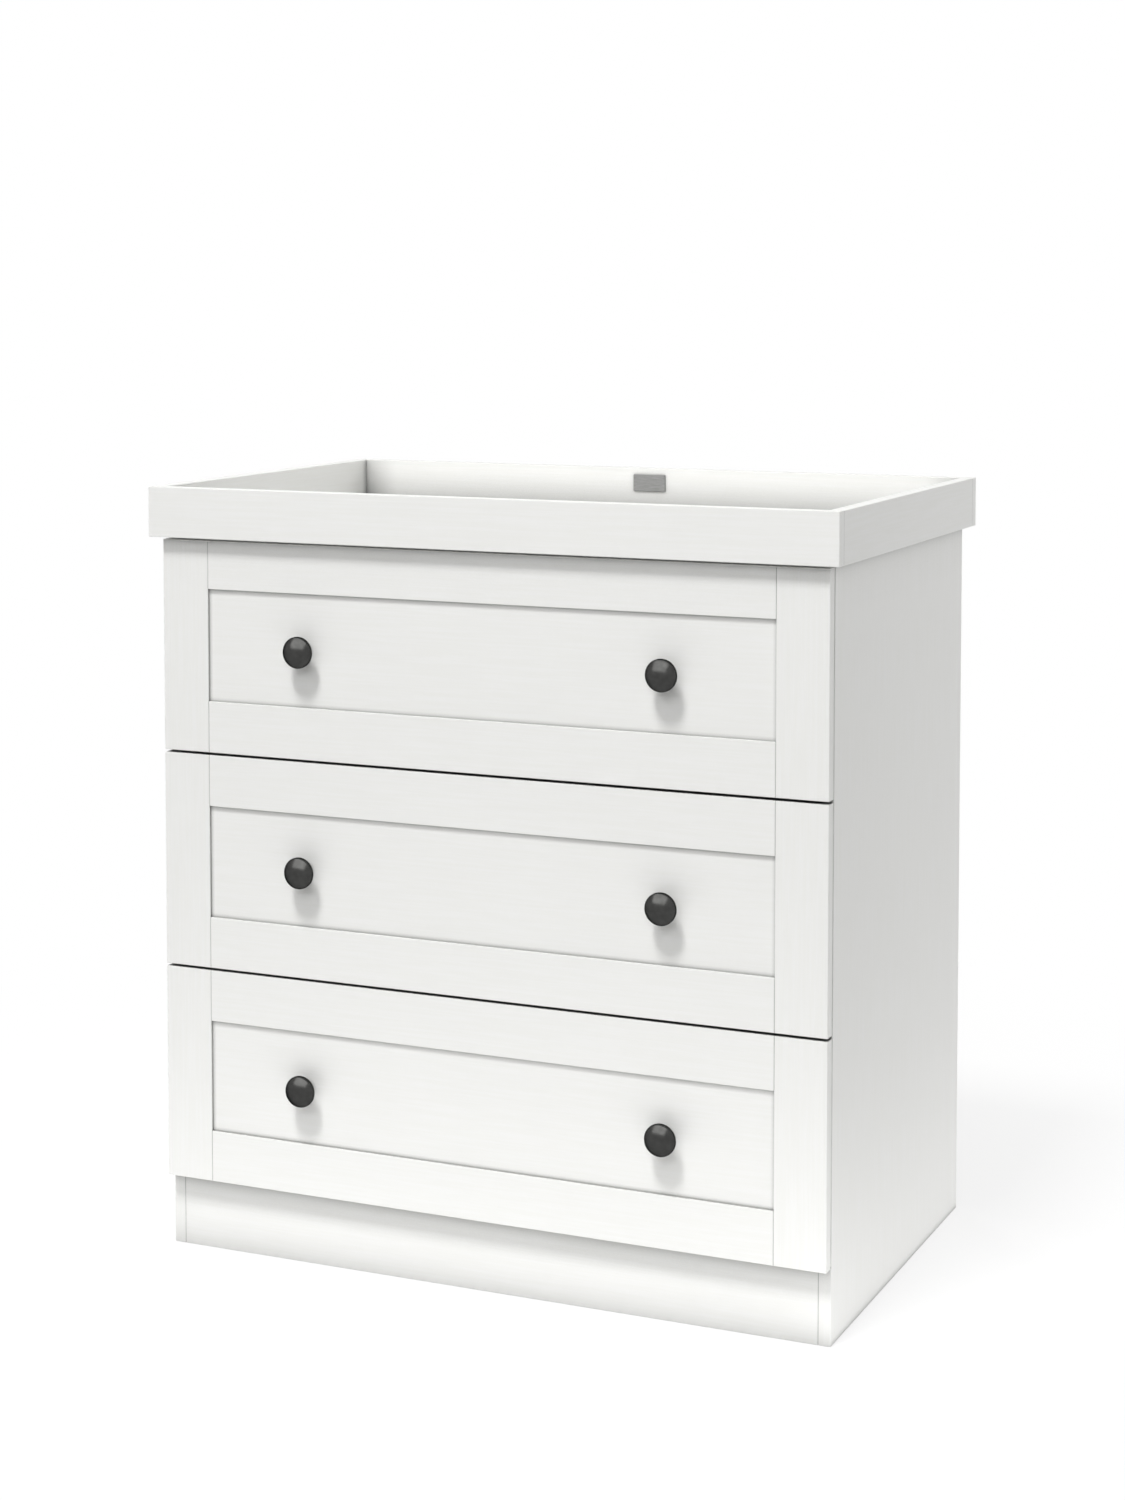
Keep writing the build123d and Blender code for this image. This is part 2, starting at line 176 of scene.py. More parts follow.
class ChangingTableStage(PropertyGroup):
    """Light, floor and camera."""

    key_power: lamp_power("Key", 745.0, "Softbox high in front")
    front_power: lamp_power("Front fill", 53.0, "Softbox in front")
    right_power: lamp_power("Right fill", 75.0, "Softbox at the right")
    back_power: lamp_power("Back fill", 140.0, "Softbox behind")
    floor_power: lamp_power("Floor light", 1.72, "Bright floor in front")
    side_power: lamp_power("Side floor light", 0.68, "Bright floor at the right")
    gleam_power: lamp_power("Gleam", 150.0, "White panel that only gloss shows")
    ambient: FloatProperty(
        name="Ambient", description="Light from all round", min=0.0, default=0.05
    )
    floor_shade: FloatProperty(
        name="Floor shadow",
        description="How much of its shadow the floor shows",
        subtype="FACTOR",
        min=0.0,
        max=1.0,
        default=0.2,
    )
    lens: FloatProperty(
        name="Lens", description="Focal length in millimetres", unit="CAMERA", default=66.935
    )
    shift: FloatProperty(
        name="Shift", description="Vertical shift that frames the object low", default=-0.2
    )
    pitch: FloatProperty(
        name="Pitch", description="Camera tilt", subtype="ANGLE", default=math.radians(86.335)
    )
    turn: FloatProperty(
        name="Turn", description="Camera heading", subtype="ANGLE", default=math.radians(23.789)
    )
    eye: FloatVectorProperty(
        name="Eye",
        description="Camera place",
        subtype="TRANSLATION",
        size=3,
        default=(1.38071, -3.1516, 1.20032),
    )


def put(tree, kind, settings, inputs):
    """Adds a node, sets its properties, and links or sets each input."""
    node = tree.nodes.new(kind)
    for key, value in settings.items():
        if key == "stops":
            for stop, (place, tint) in zip(node.color_ramp.elements, value):
                stop.position = place
                stop.color = tint
        else:
            setattr(node, key, value)
    for key, value in inputs.items():
        if isinstance(value, bpy.types.NodeSocket):
            tree.links.new(value, node.inputs[key])
        else:
            node.inputs[key].default_value = value
    return node


def blank_material(name):
    """An empty node material."""
    material = bpy.data.materials.new(name)
    material.use_nodes = True
    material.node_tree.nodes.clear()
    return material, material.node_tree


def close_material(tree, tint, rough, relief, constants):
    """Ends a material in its shader: colour, roughness, relief, and what is the same all over."""
    looks = {
        "Base Color": tint,
        "Roughness": rough.outputs["Result"],
        "Normal": relief.outputs["Normal"],
    }
    shader = put(tree, "ShaderNodeBsdfPrincipled", {}, looks | constants)
    put(tree, "ShaderNodeOutputMaterial", {}, {"Surface": shader.outputs["BSDF"]})


def object_place(tree, scale=(1.0, 1.0, 1.0)):
    """Object coordinates, stretched by a scale for each axis."""
    place = put(tree, "ShaderNodeTexCoord", {}, {}).outputs["Object"]
    stretched = put(tree, "ShaderNodeMapping", {}, {"Vector": place, "Scale": scale})
    return stretched.outputs["Vector"]


def inside(tree, tests):
    """1 where every test of a value against a limit holds, and 0 elsewhere."""
    every = 1.0
    for value, operation, limit in tests:
        test = put(tree, "ShaderNodeMath", {"operation": operation}, {0: value, 1: limit})
        holds = test.outputs["Value"]
        both = put(tree, "ShaderNodeMath", {"operation": "MULTIPLY"}, {0: holds, 1: every})
        every = both.outputs["Value"]
    return every


def covered_when_shut(tree, place):
    """1 on the faces that the drawers and the tray cover at rest, and 0 on the outside."""
    # Faces within this of a limit count as beyond it.
    skin = 0.5 * MM
    top_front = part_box("top_drawer_top_rail")
    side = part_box("right_side_panel")[1]
    axis = put(tree, "ShaderNodeSeparateXYZ", {}, {"Vector": place})
    off_middle = put(tree, "ShaderNodeMath", {"operation": "ABSOLUTE"}, {0: axis.outputs["X"]})
    within = [
        (off_middle.outputs["Value"], "LESS_THAN", side.x - skin),
        (axis.outputs["Z"], "LESS_THAN", side.z + skin),
    ]
    behind_fronts = [
        (axis.outputs["Y"], "GREATER_THAN", top_front[1].y),
        (axis.outputs["Z"], "GREATER_THAN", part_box("plinth_board")[1].z),
    ]
    under_tray = [
        (axis.outputs["Y"], "GREATER_THAN", top_front[0].y - skin),
        (axis.outputs["Z"], "GREATER_THAN", top_front[1].z - 2 * skin),
    ]
    either = put(
        tree,
        "ShaderNodeMath",
        {"operation": "MAXIMUM"},
        {0: inside(tree, within + behind_fronts), 1: inside(tree, within + under_tray)},
    )
    return either.outputs["Value"]


def satin_lacquer(finishes, along, painted_shade_reach_mm):
    """Sprayed satin lacquer on board: white with a soft sheen, a breath of grain and painted shade.
    """
    # The sprayed film levels out to a fine orange peel, about 2 mm from crest to crest, which
    # softens the sheen. The grain runs along one axis in lines about 3 mm apart, barely darker
    # than the white and a little rougher.
    material, tree = blank_material(f"satin_lacquer_grain_{along}_shade_{painted_shade_reach_mm:.0f}")
    even = object_place(tree)
    stretched = object_place(tree, GRAIN_STRETCH[along])
    grain = put(
        tree,
        "ShaderNodeTexNoise",
        {},
        {"Vector": stretched, "Scale": per_metre(3.0), "Detail": 4.0, "Roughness": 0.6},
    ).outputs["Fac"]
    tint = put(
        tree,
        "ShaderNodeValToRGB",
        {"stops": [(0.42, finishes.lacquer_grain), (0.62, finishes.lacquer)]},
        {"Fac": grain},
    )
    # Painted shade: the colour darkens in the joints, the gaps and the inside corners, down to 12%
    # of the white, and fades over its reach. Faces that the drawers and the tray cover at rest get
    # none.
    corner = put(
        tree, "ShaderNodeAmbientOcclusion", {"samples": 8}, {"Distance": painted_shade_reach_mm * MM}
    ).outputs["AO"]
    open_share = put(
        tree,
        "ShaderNodeMapRange",
        {},
        {"Value": corner, "From Min": 0.15, "From Max": 1.0, "To Min": 0.12, "To Max": 1.0},
    )
    painted_lightness = put(
        tree,
        "ShaderNodeMath",
        {"operation": "MAXIMUM"},
        {0: open_share.outputs["Result"], 1: covered_when_shut(tree, even)},
    )
    tint_with_painted_shade = put(
        tree,
        "ShaderNodeVectorMath",
        {"operation": "SCALE"},
        {0: tint.outputs["Color"], "Scale": painted_lightness.outputs["Value"]},
    )
    rough = put(tree, "ShaderNodeMapRange", {}, {"Value": grain, "To Min": 0.5, "To Max": 0.4})
    peel = put(
        tree,
        "ShaderNodeTexNoise",
        {},
        {"Vector": even, "Scale": per_metre(2.0), "Detail": 1.0},
    ).outputs["Fac"]
    film = put(
        tree,
        "ShaderNodeBump",
        {},
        {"Height": peel, "Strength": 0.25, "Distance": 0.03 * MM},
    ).outputs["Normal"]
    relief = put(
        tree,
        "ShaderNodeBump",
        {},
        {"Height": grain, "Strength": 0.2, "Distance": 0.02 * MM, "Normal": film},
    )
    close_material(tree, tint_with_painted_shade.outputs["Vector"], rough, relief, {"IOR": 1.5})
    return material


def white_melamine(finishes):
    """Melamine-faced chipboard: a cool white paper under resin, pressed with a fine pebble."""
    # The press plate leaves pebbles about 0.8 mm across, which break the gloss into a dull even
    # shine.
    material, tree = blank_material("white_melamine")
    pebble = put(
        tree,
        "ShaderNodeTexVoronoi",
        {},
        {"Vector": object_place(tree), "Scale": per_metre(0.8)},
    ).outputs["Distance"]
    tint = put(
        tree,
        "ShaderNodeValToRGB",
        {"stops": [(0.25, finishes.melamine), (0.85, finishes.melamine_speck)]},
        {"Fac": pebble},
    )
    rough = put(tree, "ShaderNodeMapRange", {}, {"Value": pebble, "To Min": 0.36, "To Max": 0.52})
    relief = put(
        tree,
        "ShaderNodeBump",
        {"invert": True},
        {"Height": pebble, "Strength": 0.3, "Distance": 0.04 * MM},
    )
    close_material(tree, tint.outputs["Color"], rough, relief, {"IOR": 1.5})
    return material


def white_hardboard(finishes):
    """White-faced hardboard: a thin matt coat over pressed wood fibre."""
    # Short fibres about 1.2 mm long lie every way under the coat and stand up a little from it.
    material, tree = blank_material("white_hardboard")
    fibre = put(
        tree,
        "ShaderNodeTexNoise",
        {},
        {
            "Vector": object_place(tree),
            "Scale": per_metre(1.2),
            "Detail": 6.0,
            "Roughness": 0.7,
            "Distortion": 1.5,
        },
    ).outputs["Fac"]
    tint = put(
        tree,
        "ShaderNodeValToRGB",
        {"stops": [(0.3, finishes.hardboard_fibre), (0.6, finishes.hardboard)]},
        {"Fac": fibre},
    )
    rough = put(tree, "ShaderNodeMapRange", {}, {"Value": fibre, "To Min": 0.72, "To Max": 0.56})
    relief = put(
        tree,
        "ShaderNodeBump",
        {},
        {"Height": fibre, "Strength": 0.3, "Distance": 0.05 * MM},
    )
    close_material(tree, tint.outputs["Color"], rough, relief, {"IOR": 1.48})
    return material


def gunmetal(finishes):
    """Dark gunmetal-plated zinc casting: near black, with a satin gloss and soft highlights."""
    # Tumbling before the plating leaves faint clouds about 6 mm across and a 0.3 mm grit in the
    # gloss.
    material, tree = blank_material("gunmetal_plated_casting")
    even = object_place(tree)
    cloud = put(
        tree,
        "ShaderNodeTexNoise",
        {},
        {"Vector": even, "Scale": per_metre(6.0), "Detail": 3.0},
    ).outputs["Fac"]
    grit = put(
        tree,
        "ShaderNodeTexNoise",
        {},
        {"Vector": even, "Scale": per_metre(0.3), "Detail": 2.0},
    ).outputs["Fac"]
    tint = put(
        tree,
        "ShaderNodeValToRGB",
        {"stops": [(0.35, finishes.gunmetal_low), (0.65, finishes.gunmetal)]},
        {"Fac": cloud},
    )
    rough = put(tree, "ShaderNodeMapRange", {}, {"Value": cloud, "To Min": 0.28, "To Max": 0.2})
    relief = put(
        tree,
        "ShaderNodeBump",
        {},
        {"Height": grit, "Strength": 0.15, "Distance": 0.01 * MM},
    )
    metal = {"Metallic": 1.0, "Specular Tint": finishes.gunmetal_edge}
    close_material(tree, tint.outputs["Color"], rough, relief, metal)
    return material


def coated_steel(finishes):
    """Rolled steel with a white epoxy coat: glossy, with slight dimples from the baked powder."""
    # The powder flows out to dimples about 1.5 mm across.
    material, tree = blank_material("epoxy_coated_steel")
    dimple = put(
        tree,
        "ShaderNodeTexNoise",
        {},
        {"Vector": object_place(tree), "Scale": per_metre(1.5), "Detail": 2.0},
    ).outputs["Fac"]
    tint = put(
        tree,
        "ShaderNodeValToRGB",
        {"stops": [(0.35, finishes.coating_low), (0.6, finishes.coating)]},
        {"Fac": dimple},
    )
    rough = put(tree, "ShaderNodeMapRange", {}, {"Value": dimple, "To Min": 0.4, "To Max": 0.28})
    relief = put(
        tree,
        "ShaderNodeBump",
        {},
        {"Height": dimple, "Strength": 0.3, "Distance": 0.04 * MM},
    )
    close_material(tree, tint.outputs["Color"], rough, relief, {"IOR": 1.52})
    return material


def moulded_nylon(finishes):
    """Moulded nylon: a milky off-white with a waxy sheen and cloudy flow marks."""
    # The flow marks are about 4 mm across, and the mould's spark finish is a 0.4 mm grain.
    material, tree = blank_material("moulded_nylon")
    even = object_place(tree)
    flow = put(
        tree,
        "ShaderNodeTexNoise",
        {},
        {"Vector": even, "Scale": per_metre(4.0), "Detail": 3.0, "Distortion": 0.8},
    ).outputs["Fac"]
    grain = put(
        tree, "ShaderNodeTexNoise", {}, {"Vector": even, "Scale": per_metre(0.4)}
    ).outputs["Fac"]
    tint = put(
        tree,
        "ShaderNodeValToRGB",
        {"stops": [(0.35, finishes.nylon_cloud), (0.65, finishes.nylon)]},
        {"Fac": flow},
    )
    rough = put(tree, "ShaderNodeMapRange", {}, {"Value": flow, "To Min": 0.55, "To Max": 0.42})
    relief = put(
        tree,
        "ShaderNodeBump",
        {},
        {"Height": grain, "Strength": 0.2, "Distance": 0.02 * MM},
    )
    close_material(tree, tint.outputs["Color"], rough, relief, {"IOR": 1.53})
    return material


def zinc_plate(finishes):
    """Bright zinc plating: a pale grey metal, duller where the bath left thicker crystals."""
    # The duller patches are about 2 mm across.
    material, tree = blank_material("zinc_plated_steel")
    patch = put(
        tree,
        "ShaderNodeTexNoise",
        {},
        {"Vector": object_place(tree), "Scale": per_metre(2.0), "Detail": 4.0},
    ).outputs["Fac"]
    tint = put(
        tree,
        "ShaderNodeValToRGB",
        {"stops": [(0.4, finishes.zinc_spangle), (0.62, finishes.zinc)]},
        {"Fac": patch},
    )
    rough = put(tree, "ShaderNodeMapRange", {}, {"Value": patch, "To Min": 0.42, "To Max": 0.26})
    relief = put(
        tree,
        "ShaderNodeBump",
        {},
        {"Height": patch, "Strength": 0.2, "Distance": 0.02 * MM},
    )
    close_material(tree, tint.outputs["Color"], rough, relief, {"Metallic": 1.0})
    return material


def bare_beech(finishes, along):
    """Bare turned beech: pale pinkish wood with fine dark flecks along the grain."""
    # Growth lines lie about 1.5 mm apart and the flecks are thinner still.
    material, tree = blank_material("bare_beech_grain_" + along)
    stretched = object_place(tree, GRAIN_STRETCH[along])
    lines = put(
        tree,
        "ShaderNodeTexNoise",
        {},
        {"Vector": stretched, "Scale": per_metre(1.5), "Detail": 5.0, "Roughness": 0.65},
    ).outputs["Fac"]
    tint = put(
        tree,
        "ShaderNodeValToRGB",
        {"stops": [(0.36, finishes.beech_late), (0.6, finishes.beech)]},
        {"Fac": lines},
    )
    rough = put(tree, "ShaderNodeMapRange", {}, {"Value": lines, "To Min": 0.75, "To Max": 0.6})
    relief = put(
        tree,
        "ShaderNodeBump",
        {},
        {"Height": lines, "Strength": 0.4, "Distance": 0.05 * MM},
    )
    close_material(tree, tint.outputs["Color"], rough, relief, {"IOR": 1.45})
    return material


def brushed_badge(finishes):
    """Brushed metal plate: fine lines along its length, so it gleams across them."""
    # The brush lines are about 0.5 mm apart, drawn coarser than the real ones so that they show.
    material, tree = blank_material("brushed_badge_metal")
    stretched = object_place(tree, GRAIN_STRETCH["x"])
    lines = put(
        tree,
        "ShaderNodeTexNoise",
        {},
        {"Vector": stretched, "Scale": per_metre(0.5), "Detail": 3.0},
    ).outputs["Fac"]
    tint = put(
        tree,
        "ShaderNodeValToRGB",
        {"stops": [(0.4, finishes.badge_scratch), (0.6, finishes.badge)]},
        {"Fac": lines},
    )
    rough = put(tree, "ShaderNodeMapRange", {}, {"Value": lines, "To Min": 0.5, "To Max": 0.36})
    relief = put(
        tree,
        "ShaderNodeBump",
        {},
        {"Height": lines, "Strength": 0.3, "Distance": 0.03 * MM},
    )
    close_material(tree, tint.outputs["Color"], rough, relief, {"Metallic": 1.0})
    return material


def coat_nodes(names, material):
    """Gives CAD nodes a material."""
    for name in names:
        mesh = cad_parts[name].data
        mesh.materials.clear()
        mesh.materials.append(material)


def outline_edges(bm, points):
    """Joins (radius, height) points into an open outline in the XZ plane."""
    corners = [bm.verts.new((radius, 0.0, height)) for radius, height in points]
    for start, end in zip(corners, corners[1:]):
        bm.edges.new((start, end))
    return corners


def turn_outline(bm, steps):
    """Spins everything in the bmesh once about Z, and closes the seam and the poles."""
    bmesh.ops.spin(
        bm,
        geom=bm.verts[:] + bm.edges[:],
        cent=(0.0, 0.0, 0.0),
        axis=(0.0, 0.0, 1.0),
        angle=math.tau,
        steps=steps,
        use_merge=True,
    )
    bmesh.ops.remove_doubles(bm, verts=bm.verts[:], dist=MERGED)
    bmesh.ops.recalc_face_normals(bm, faces=bm.faces[:])


def turned_bar(radius, height, steps):
    """A turned bar that stands on the origin, with its ends still sharp."""
    bar = bmesh.new()
    outline_edges(bar, [(0.0, 0.0), (radius, 0.0), (radius, height), (0.0, height)])
    turn_outline(bar, steps)
    return bar


def round_edges(bm, edges, width, segments, clamp=False):
    """Rounds edges to a width, which is held back where it would overlap if it is clamped."""
    bmesh.ops.bevel(
        bm,
        geom=edges,
        offset=width,
        offset_type="OFFSET",
        segments=segments,
        profile=0.5,
        affect="EDGES",
        material=-1,
        clamp_overlap=clamp,
    )


def ease_rings(bm, lowest, width, segments, above=-math.inf, below=math.inf):
    """Rounds the edges that turn by more than an angle, above or below a height if one is given."""
    sharp = [e for e in bm.edges if e.is_manifold and e.calc_face_angle() > lowest]
    rings = [e for e in sharp if above < e.verts[0].co.z < below]
    round_edges(bm, rings, width, segments, clamp=True)


def level_faces(bm, height):
    """The faces that look up at a height."""
    upward = [f for f in bm.faces if f.normal.z > UPWARD]
    return [f for f in upward if abs(f.calc_center_median().z - height) < TOUCH]


def cross_recess(bm, height, margin, arm, depth):
    """Sinks a cross for a screwdriver into a turned shape's flat top, with a margin round it."""
    disc = bmesh.ops.dissolve_faces(bm, faces=level_faces(bm, height))["region"]
    inset = bmesh.ops.inset_region(bm, faces=disc, thickness=margin, depth=0.0)
    middle = [f for f in level_faces(bm, height) if f not in inset["faces"]]
    for side in ((1, 0, 0), (-1, 0, 0), (0, 1, 0), (0, -1, 0)):
        geom = set(middle)
        for face in middle:
            geom.update(face.edges)
            geom.update(face.verts)
        cut = bmesh.ops.bisect_plane(
            bm, geom=list(geom), plane_co=Vector(side) * arm, plane_no=side
        )
        middle = [g for g in cut["geom"] if isinstance(g, bmesh.types.BMFace)]
    arms = []
    for face in middle:
        x, y, _ = face.calc_center_median()
        if abs(x) < arm or abs(y) < arm:
            arms.append(face)
    taper = arm * 0.15
    bmesh.ops.inset_region(bm, faces=arms, thickness=taper, depth=-depth)


def add_copy(target, source, matrix):
    """Adds a copy of one bmesh to another, placed by a matrix."""
    mesh = bpy.data.meshes.new("copy")
    source.to_mesh(mesh)
    mesh.transform(matrix)
    target.from_mesh(mesh)
    bpy.data.meshes.remove(mesh)


def finish_piece(name, bm, material, body, nodes=()):
    """Makes an object of a bmesh, puts it on a body and lets it stand for CAD nodes."""
    mesh = bpy.data.meshes.new(name)
    bm.to_mesh(mesh)
    bm.free()
    for polygon in mesh.polygons:
        polygon.use_smooth = True
    mesh.set_sharp_from_angle(angle=CREASE_ANGLE)
    mesh.materials.append(material)
    piece = bpy.data.objects.new(name, mesh)
    bpy.context.scene.collection.objects.link(piece)
    piece.modifiers.new("Weighted normals", "WEIGHTED_NORMAL").keep_sharp = True
    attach(piece, body)
    if nodes:
        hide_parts(*nodes)


def facing(axis, place):
    """A matrix that turns a shape's Z to an axis and puts its origin at a place."""
    turn = Vector(axis).to_track_quat("Z", "Y").to_matrix().to_4x4()
    return Matrix.Translation(place) @ turn


class CHANGINGTABLE_OT_lacquered_boards(Operator):
    """Lacquer the carcass, the drawer fronts and the tray, with each board's grain lengthwise"""

    bl_idname = "changing_table.lacquered_boards"
    bl_label = "Lacquered boards"

    def execute(self, context):
        finishes = context.scene.changing_table_finishes
        across = ["top_panel", "bottom_panel", "rear_top_rail"]
        upright = ["left_side_panel", "right_side_panel"]
        for name in DRAWERS:
            across += [name + "_top_rail", name + "_bottom_rail"]
            upright += [name + "_left_stile", name + "_right_stile"]
        panels = [name + "_front_panel" for name in DRAWERS]
        tray_across = ["tray_front_wall", "tray_back_wall", "tray_base"]
        tray_sides = ["tray_left_wall", "tray_right_wall"]
        # The painted shade's reach in millimetres is longest under the tray and between the fronts,
        # and shortest in the panels' shallow recesses.
        coat_nodes(across, satin_lacquer(finishes, "x", 60.0))
        coat_nodes(upright, satin_lacquer(finishes, "z", 60.0))
        coat_nodes(["plinth_board"], satin_lacquer(finishes, "x", 45.0))
        coat_nodes(panels, satin_lacquer(finishes, "x", 5.0))
        coat_nodes(tray_across, satin_lacquer(finishes, "x", 48.0))
        coat_nodes(tray_sides, satin_lacquer(finishes, "y", 14.0))
        return {"FINISHED"}


class CHANGINGTABLE_OT_drawer_boxes(Operator):
    """Face the drawer boxes with melamine, and the drawer bottoms and the back with hardboard"""

    bl_idname = "changing_table.drawer_boxes"
    bl_label = "Drawer boxes and back"

    def execute(self, context):
        finishes = context.scene.changing_table_finishes
        walls = ("_box_sides", "_box_front", "_box_back")
        coat_nodes([name + wall for name in DRAWERS for wall in walls], white_melamine(finishes))
        sheets = ["back_panel"] + [name + "_box_bottom" for name in DRAWERS]
        coat_nodes(sheets, white_hardboard(finishes))
        return {"FINISHED"}


class CHANGINGTABLE_OT_runner_rails(Operator):
    """Coat the runner rails, and screw the cabinet rails to the side panels"""

    bl_idname = "changing_table.runner_rails"
    bl_label = "Runner rails"

    def execute(self, context):
        finishes = context.scene.changing_table_finishes
        fittings = context.scene.changing_table_fittings
        rails = ["cabinet_runners"] + [name + "_runners" for name in DRAWERS]
        coat_nodes(rails, coated_steel(finishes))

        rail_thickness = 1.2 * MM
        front_screw = 57 * MM
        rear_screw = 377 * MM
        above_drawer_rail = 11.85 * MM
        radius = fittings.screw_head_radius
        height = fittings.runner_head_height
        screw = turned_bar(radius, height, fittings.steps)
        rounding = height * 0.45
        margin = radius * RECESS_MARGIN
        ease_rings(screw, EASED_ANGLE, rounding, 3)
        cross_recess(screw, height, margin, fittings.recess_arm, fittings.recess_depth)

        screws = bmesh.new()
        low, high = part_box("cabinet_runners")
        for name in DRAWERS:
            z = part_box(name + "_runners")[0].z + above_drawer_rail
            for y in (low.y + front_screw, low.y + rear_screw):
                add_copy(screws, screw, facing((-1, 0, 0), (high.x - rail_thickness, y, z)))
                add_copy(screws, screw, facing((1, 0, 0), (low.x + rail_thickness, y, z)))
        screw.free()
        zinc = zinc_plate(finishes)
        finish_piece("runner_screws", screws, zinc, "carcass")
        return {"FINISHED"}


class CHANGINGTABLE_OT_rollers(Operator):
    """Mould the nylon rollers of the runners, with a hub, a dished web and a rounded tread"""

    bl_idname = "changing_table.rollers"
    bl_label = "Rollers"

    def execute(self, context):
        finishes = context.scene.changing_table_finishes
        fittings = context.scene.changing_table_fittings
        nylon = moulded_nylon(finishes)
        tread = 1.9 * MM
        ease = 0.35 * MM
        bore = fittings.roller_bore
        hub = fittings.roller_hub
        half = fittings.roller_width / 2
        web = half - fittings.roller_web_drop
        for node in [name + end for name in DRAWERS for end in ("_front_rollers", "_rear_rollers")]:
            low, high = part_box(node)
            radius = (high.z - low.z) / 2
            rim = radius - tread
            outline = [(bore, half), (hub, half), (hub, web)]
            outline += [(rim, web), (rim, half), (radius, half)]
            outline += [(r, -h) for r, h in reversed(outline)]
            wheel = bmesh.new()
            corners = outline_edges(wheel, outline)
            wheel.edges.new((corners[-1], corners[0]))
            turn_outline(wheel, fittings.steps)
            ease_rings(wheel, EASED_ANGLE, ease, 2)
            pair = bmesh.new()
            middle = (low + high) / 2
            for x in (low.x + half, high.x - half):
                add_copy(pair, wheel, facing((1, 0, 0), (x, middle.y, middle.z)))
            wheel.free()
            finish_piece("nylon_" + node, pair, nylon, node, [node])
        return {"FINISHED"}


class CHANGINGTABLE_OT_knobs(Operator):
    """Turn the mushroom knobs: a flared foot, a waist, a rounded rim and a smooth dome"""

    bl_idname = "changing_table.knobs"
    bl_label = "Knobs"

    def execute(self, context):
        sizes = context.scene.changing_table_knobs
        metal = gunmetal(context.scene.changing_table_finishes)
        neck_angle = math.radians(20)
        head_angle = math.radians(30)
        ease_steps = 5
        dome_steps = 14
        for name in DRAWERS:
            node = name + "_knobs"
            low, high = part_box(node)
            radius = (high.z - low.z) / 2
            rise = high.y - low.y
            rim_top = rise - sizes.dome_height
            rim_low = rim_top - sizes.rim_height
            knob = bmesh.new()
            outline = [(0.0, 0.0), (sizes.foot_radius, 0.0), (sizes.waist_radius, rim_low / 2)]
            outline += [(sizes.collar_radius, rim_low), (radius, rim_low), (radius, rim_top)]
            edge = outline_edges(knob, outline)[-1]
            dome_radius = (radius**2 + sizes.dome_height**2) / (2 * sizes.dome_height)
            bmesh.ops.spin(
                knob,
                geom=[edge],
                cent=(0.0, 0.0, rise - dome_radius),
                axis=(0.0, 1.0, 0.0),
                angle=-math.asin(radius / dome_radius),
                steps=dome_steps,
            )
            turn_outline(knob, sizes.steps)
            collar = rim_low - TOUCH
            ease_rings(knob, neck_angle, sizes.waist_ease, ease_steps, below=collar)
            ease_rings(knob, head_angle, sizes.rim_ease, ease_steps, above=collar)
            pair = bmesh.new()
            for x in (low.x + radius, high.x - radius):
                add_copy(pair, knob, facing((0, -1, 0), (x, high.y, (low.z + high.z) / 2)))
            knob.free()
            finish_piece("turned_" + node, pair, metal, name, [node])
        return {"FINISHED"}


class CHANGINGTABLE_OT_knob_screws(Operator):
    """Make the pan-head screws that hold the knobs from inside the drawers"""

    bl_idname = "changing_table.knob_screws"
    bl_label = "Knob screws"

    def execute(self, context):
        fittings = context.scene.changing_table_fittings
        zinc = zinc_plate(context.scene.changing_table_finishes)
        shank = 2.0 * MM
        head = 2.0 * MM
        rounding = head * 0.5
        radius = fittings.screw_head_radius
        margin = radius * RECESS_MARGIN
        for name in DRAWERS:
            node = name + "_knob_screws"
            low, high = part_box(node)
            reach = high.y - low.y
            screw = bmesh.new()
            outline = [(0.0, 0.0), (shank, 0.0), (shank, reach - head), (radius, reach - head)]
            outline += [(radius, reach), (0.0, reach)]
            outline_edges(screw, outline)
            turn_outline(screw, fittings.steps)
            ease_rings(screw, EASED_ANGLE, rounding, 4, above=reach - TOUCH)
            cross_recess(screw, reach, margin, fittings.recess_arm, fittings.recess_depth)
            pair = bmesh.new()
            for x in (low.x + radius, high.x - radius):
                add_copy(pair, screw, facing((0, 1, 0), (x, low.y, (low.z + high.z) / 2)))
            screw.free()
            finish_piece("pan_head_" + node, pair, zinc, name, [node])
        return {"FINISHED"}


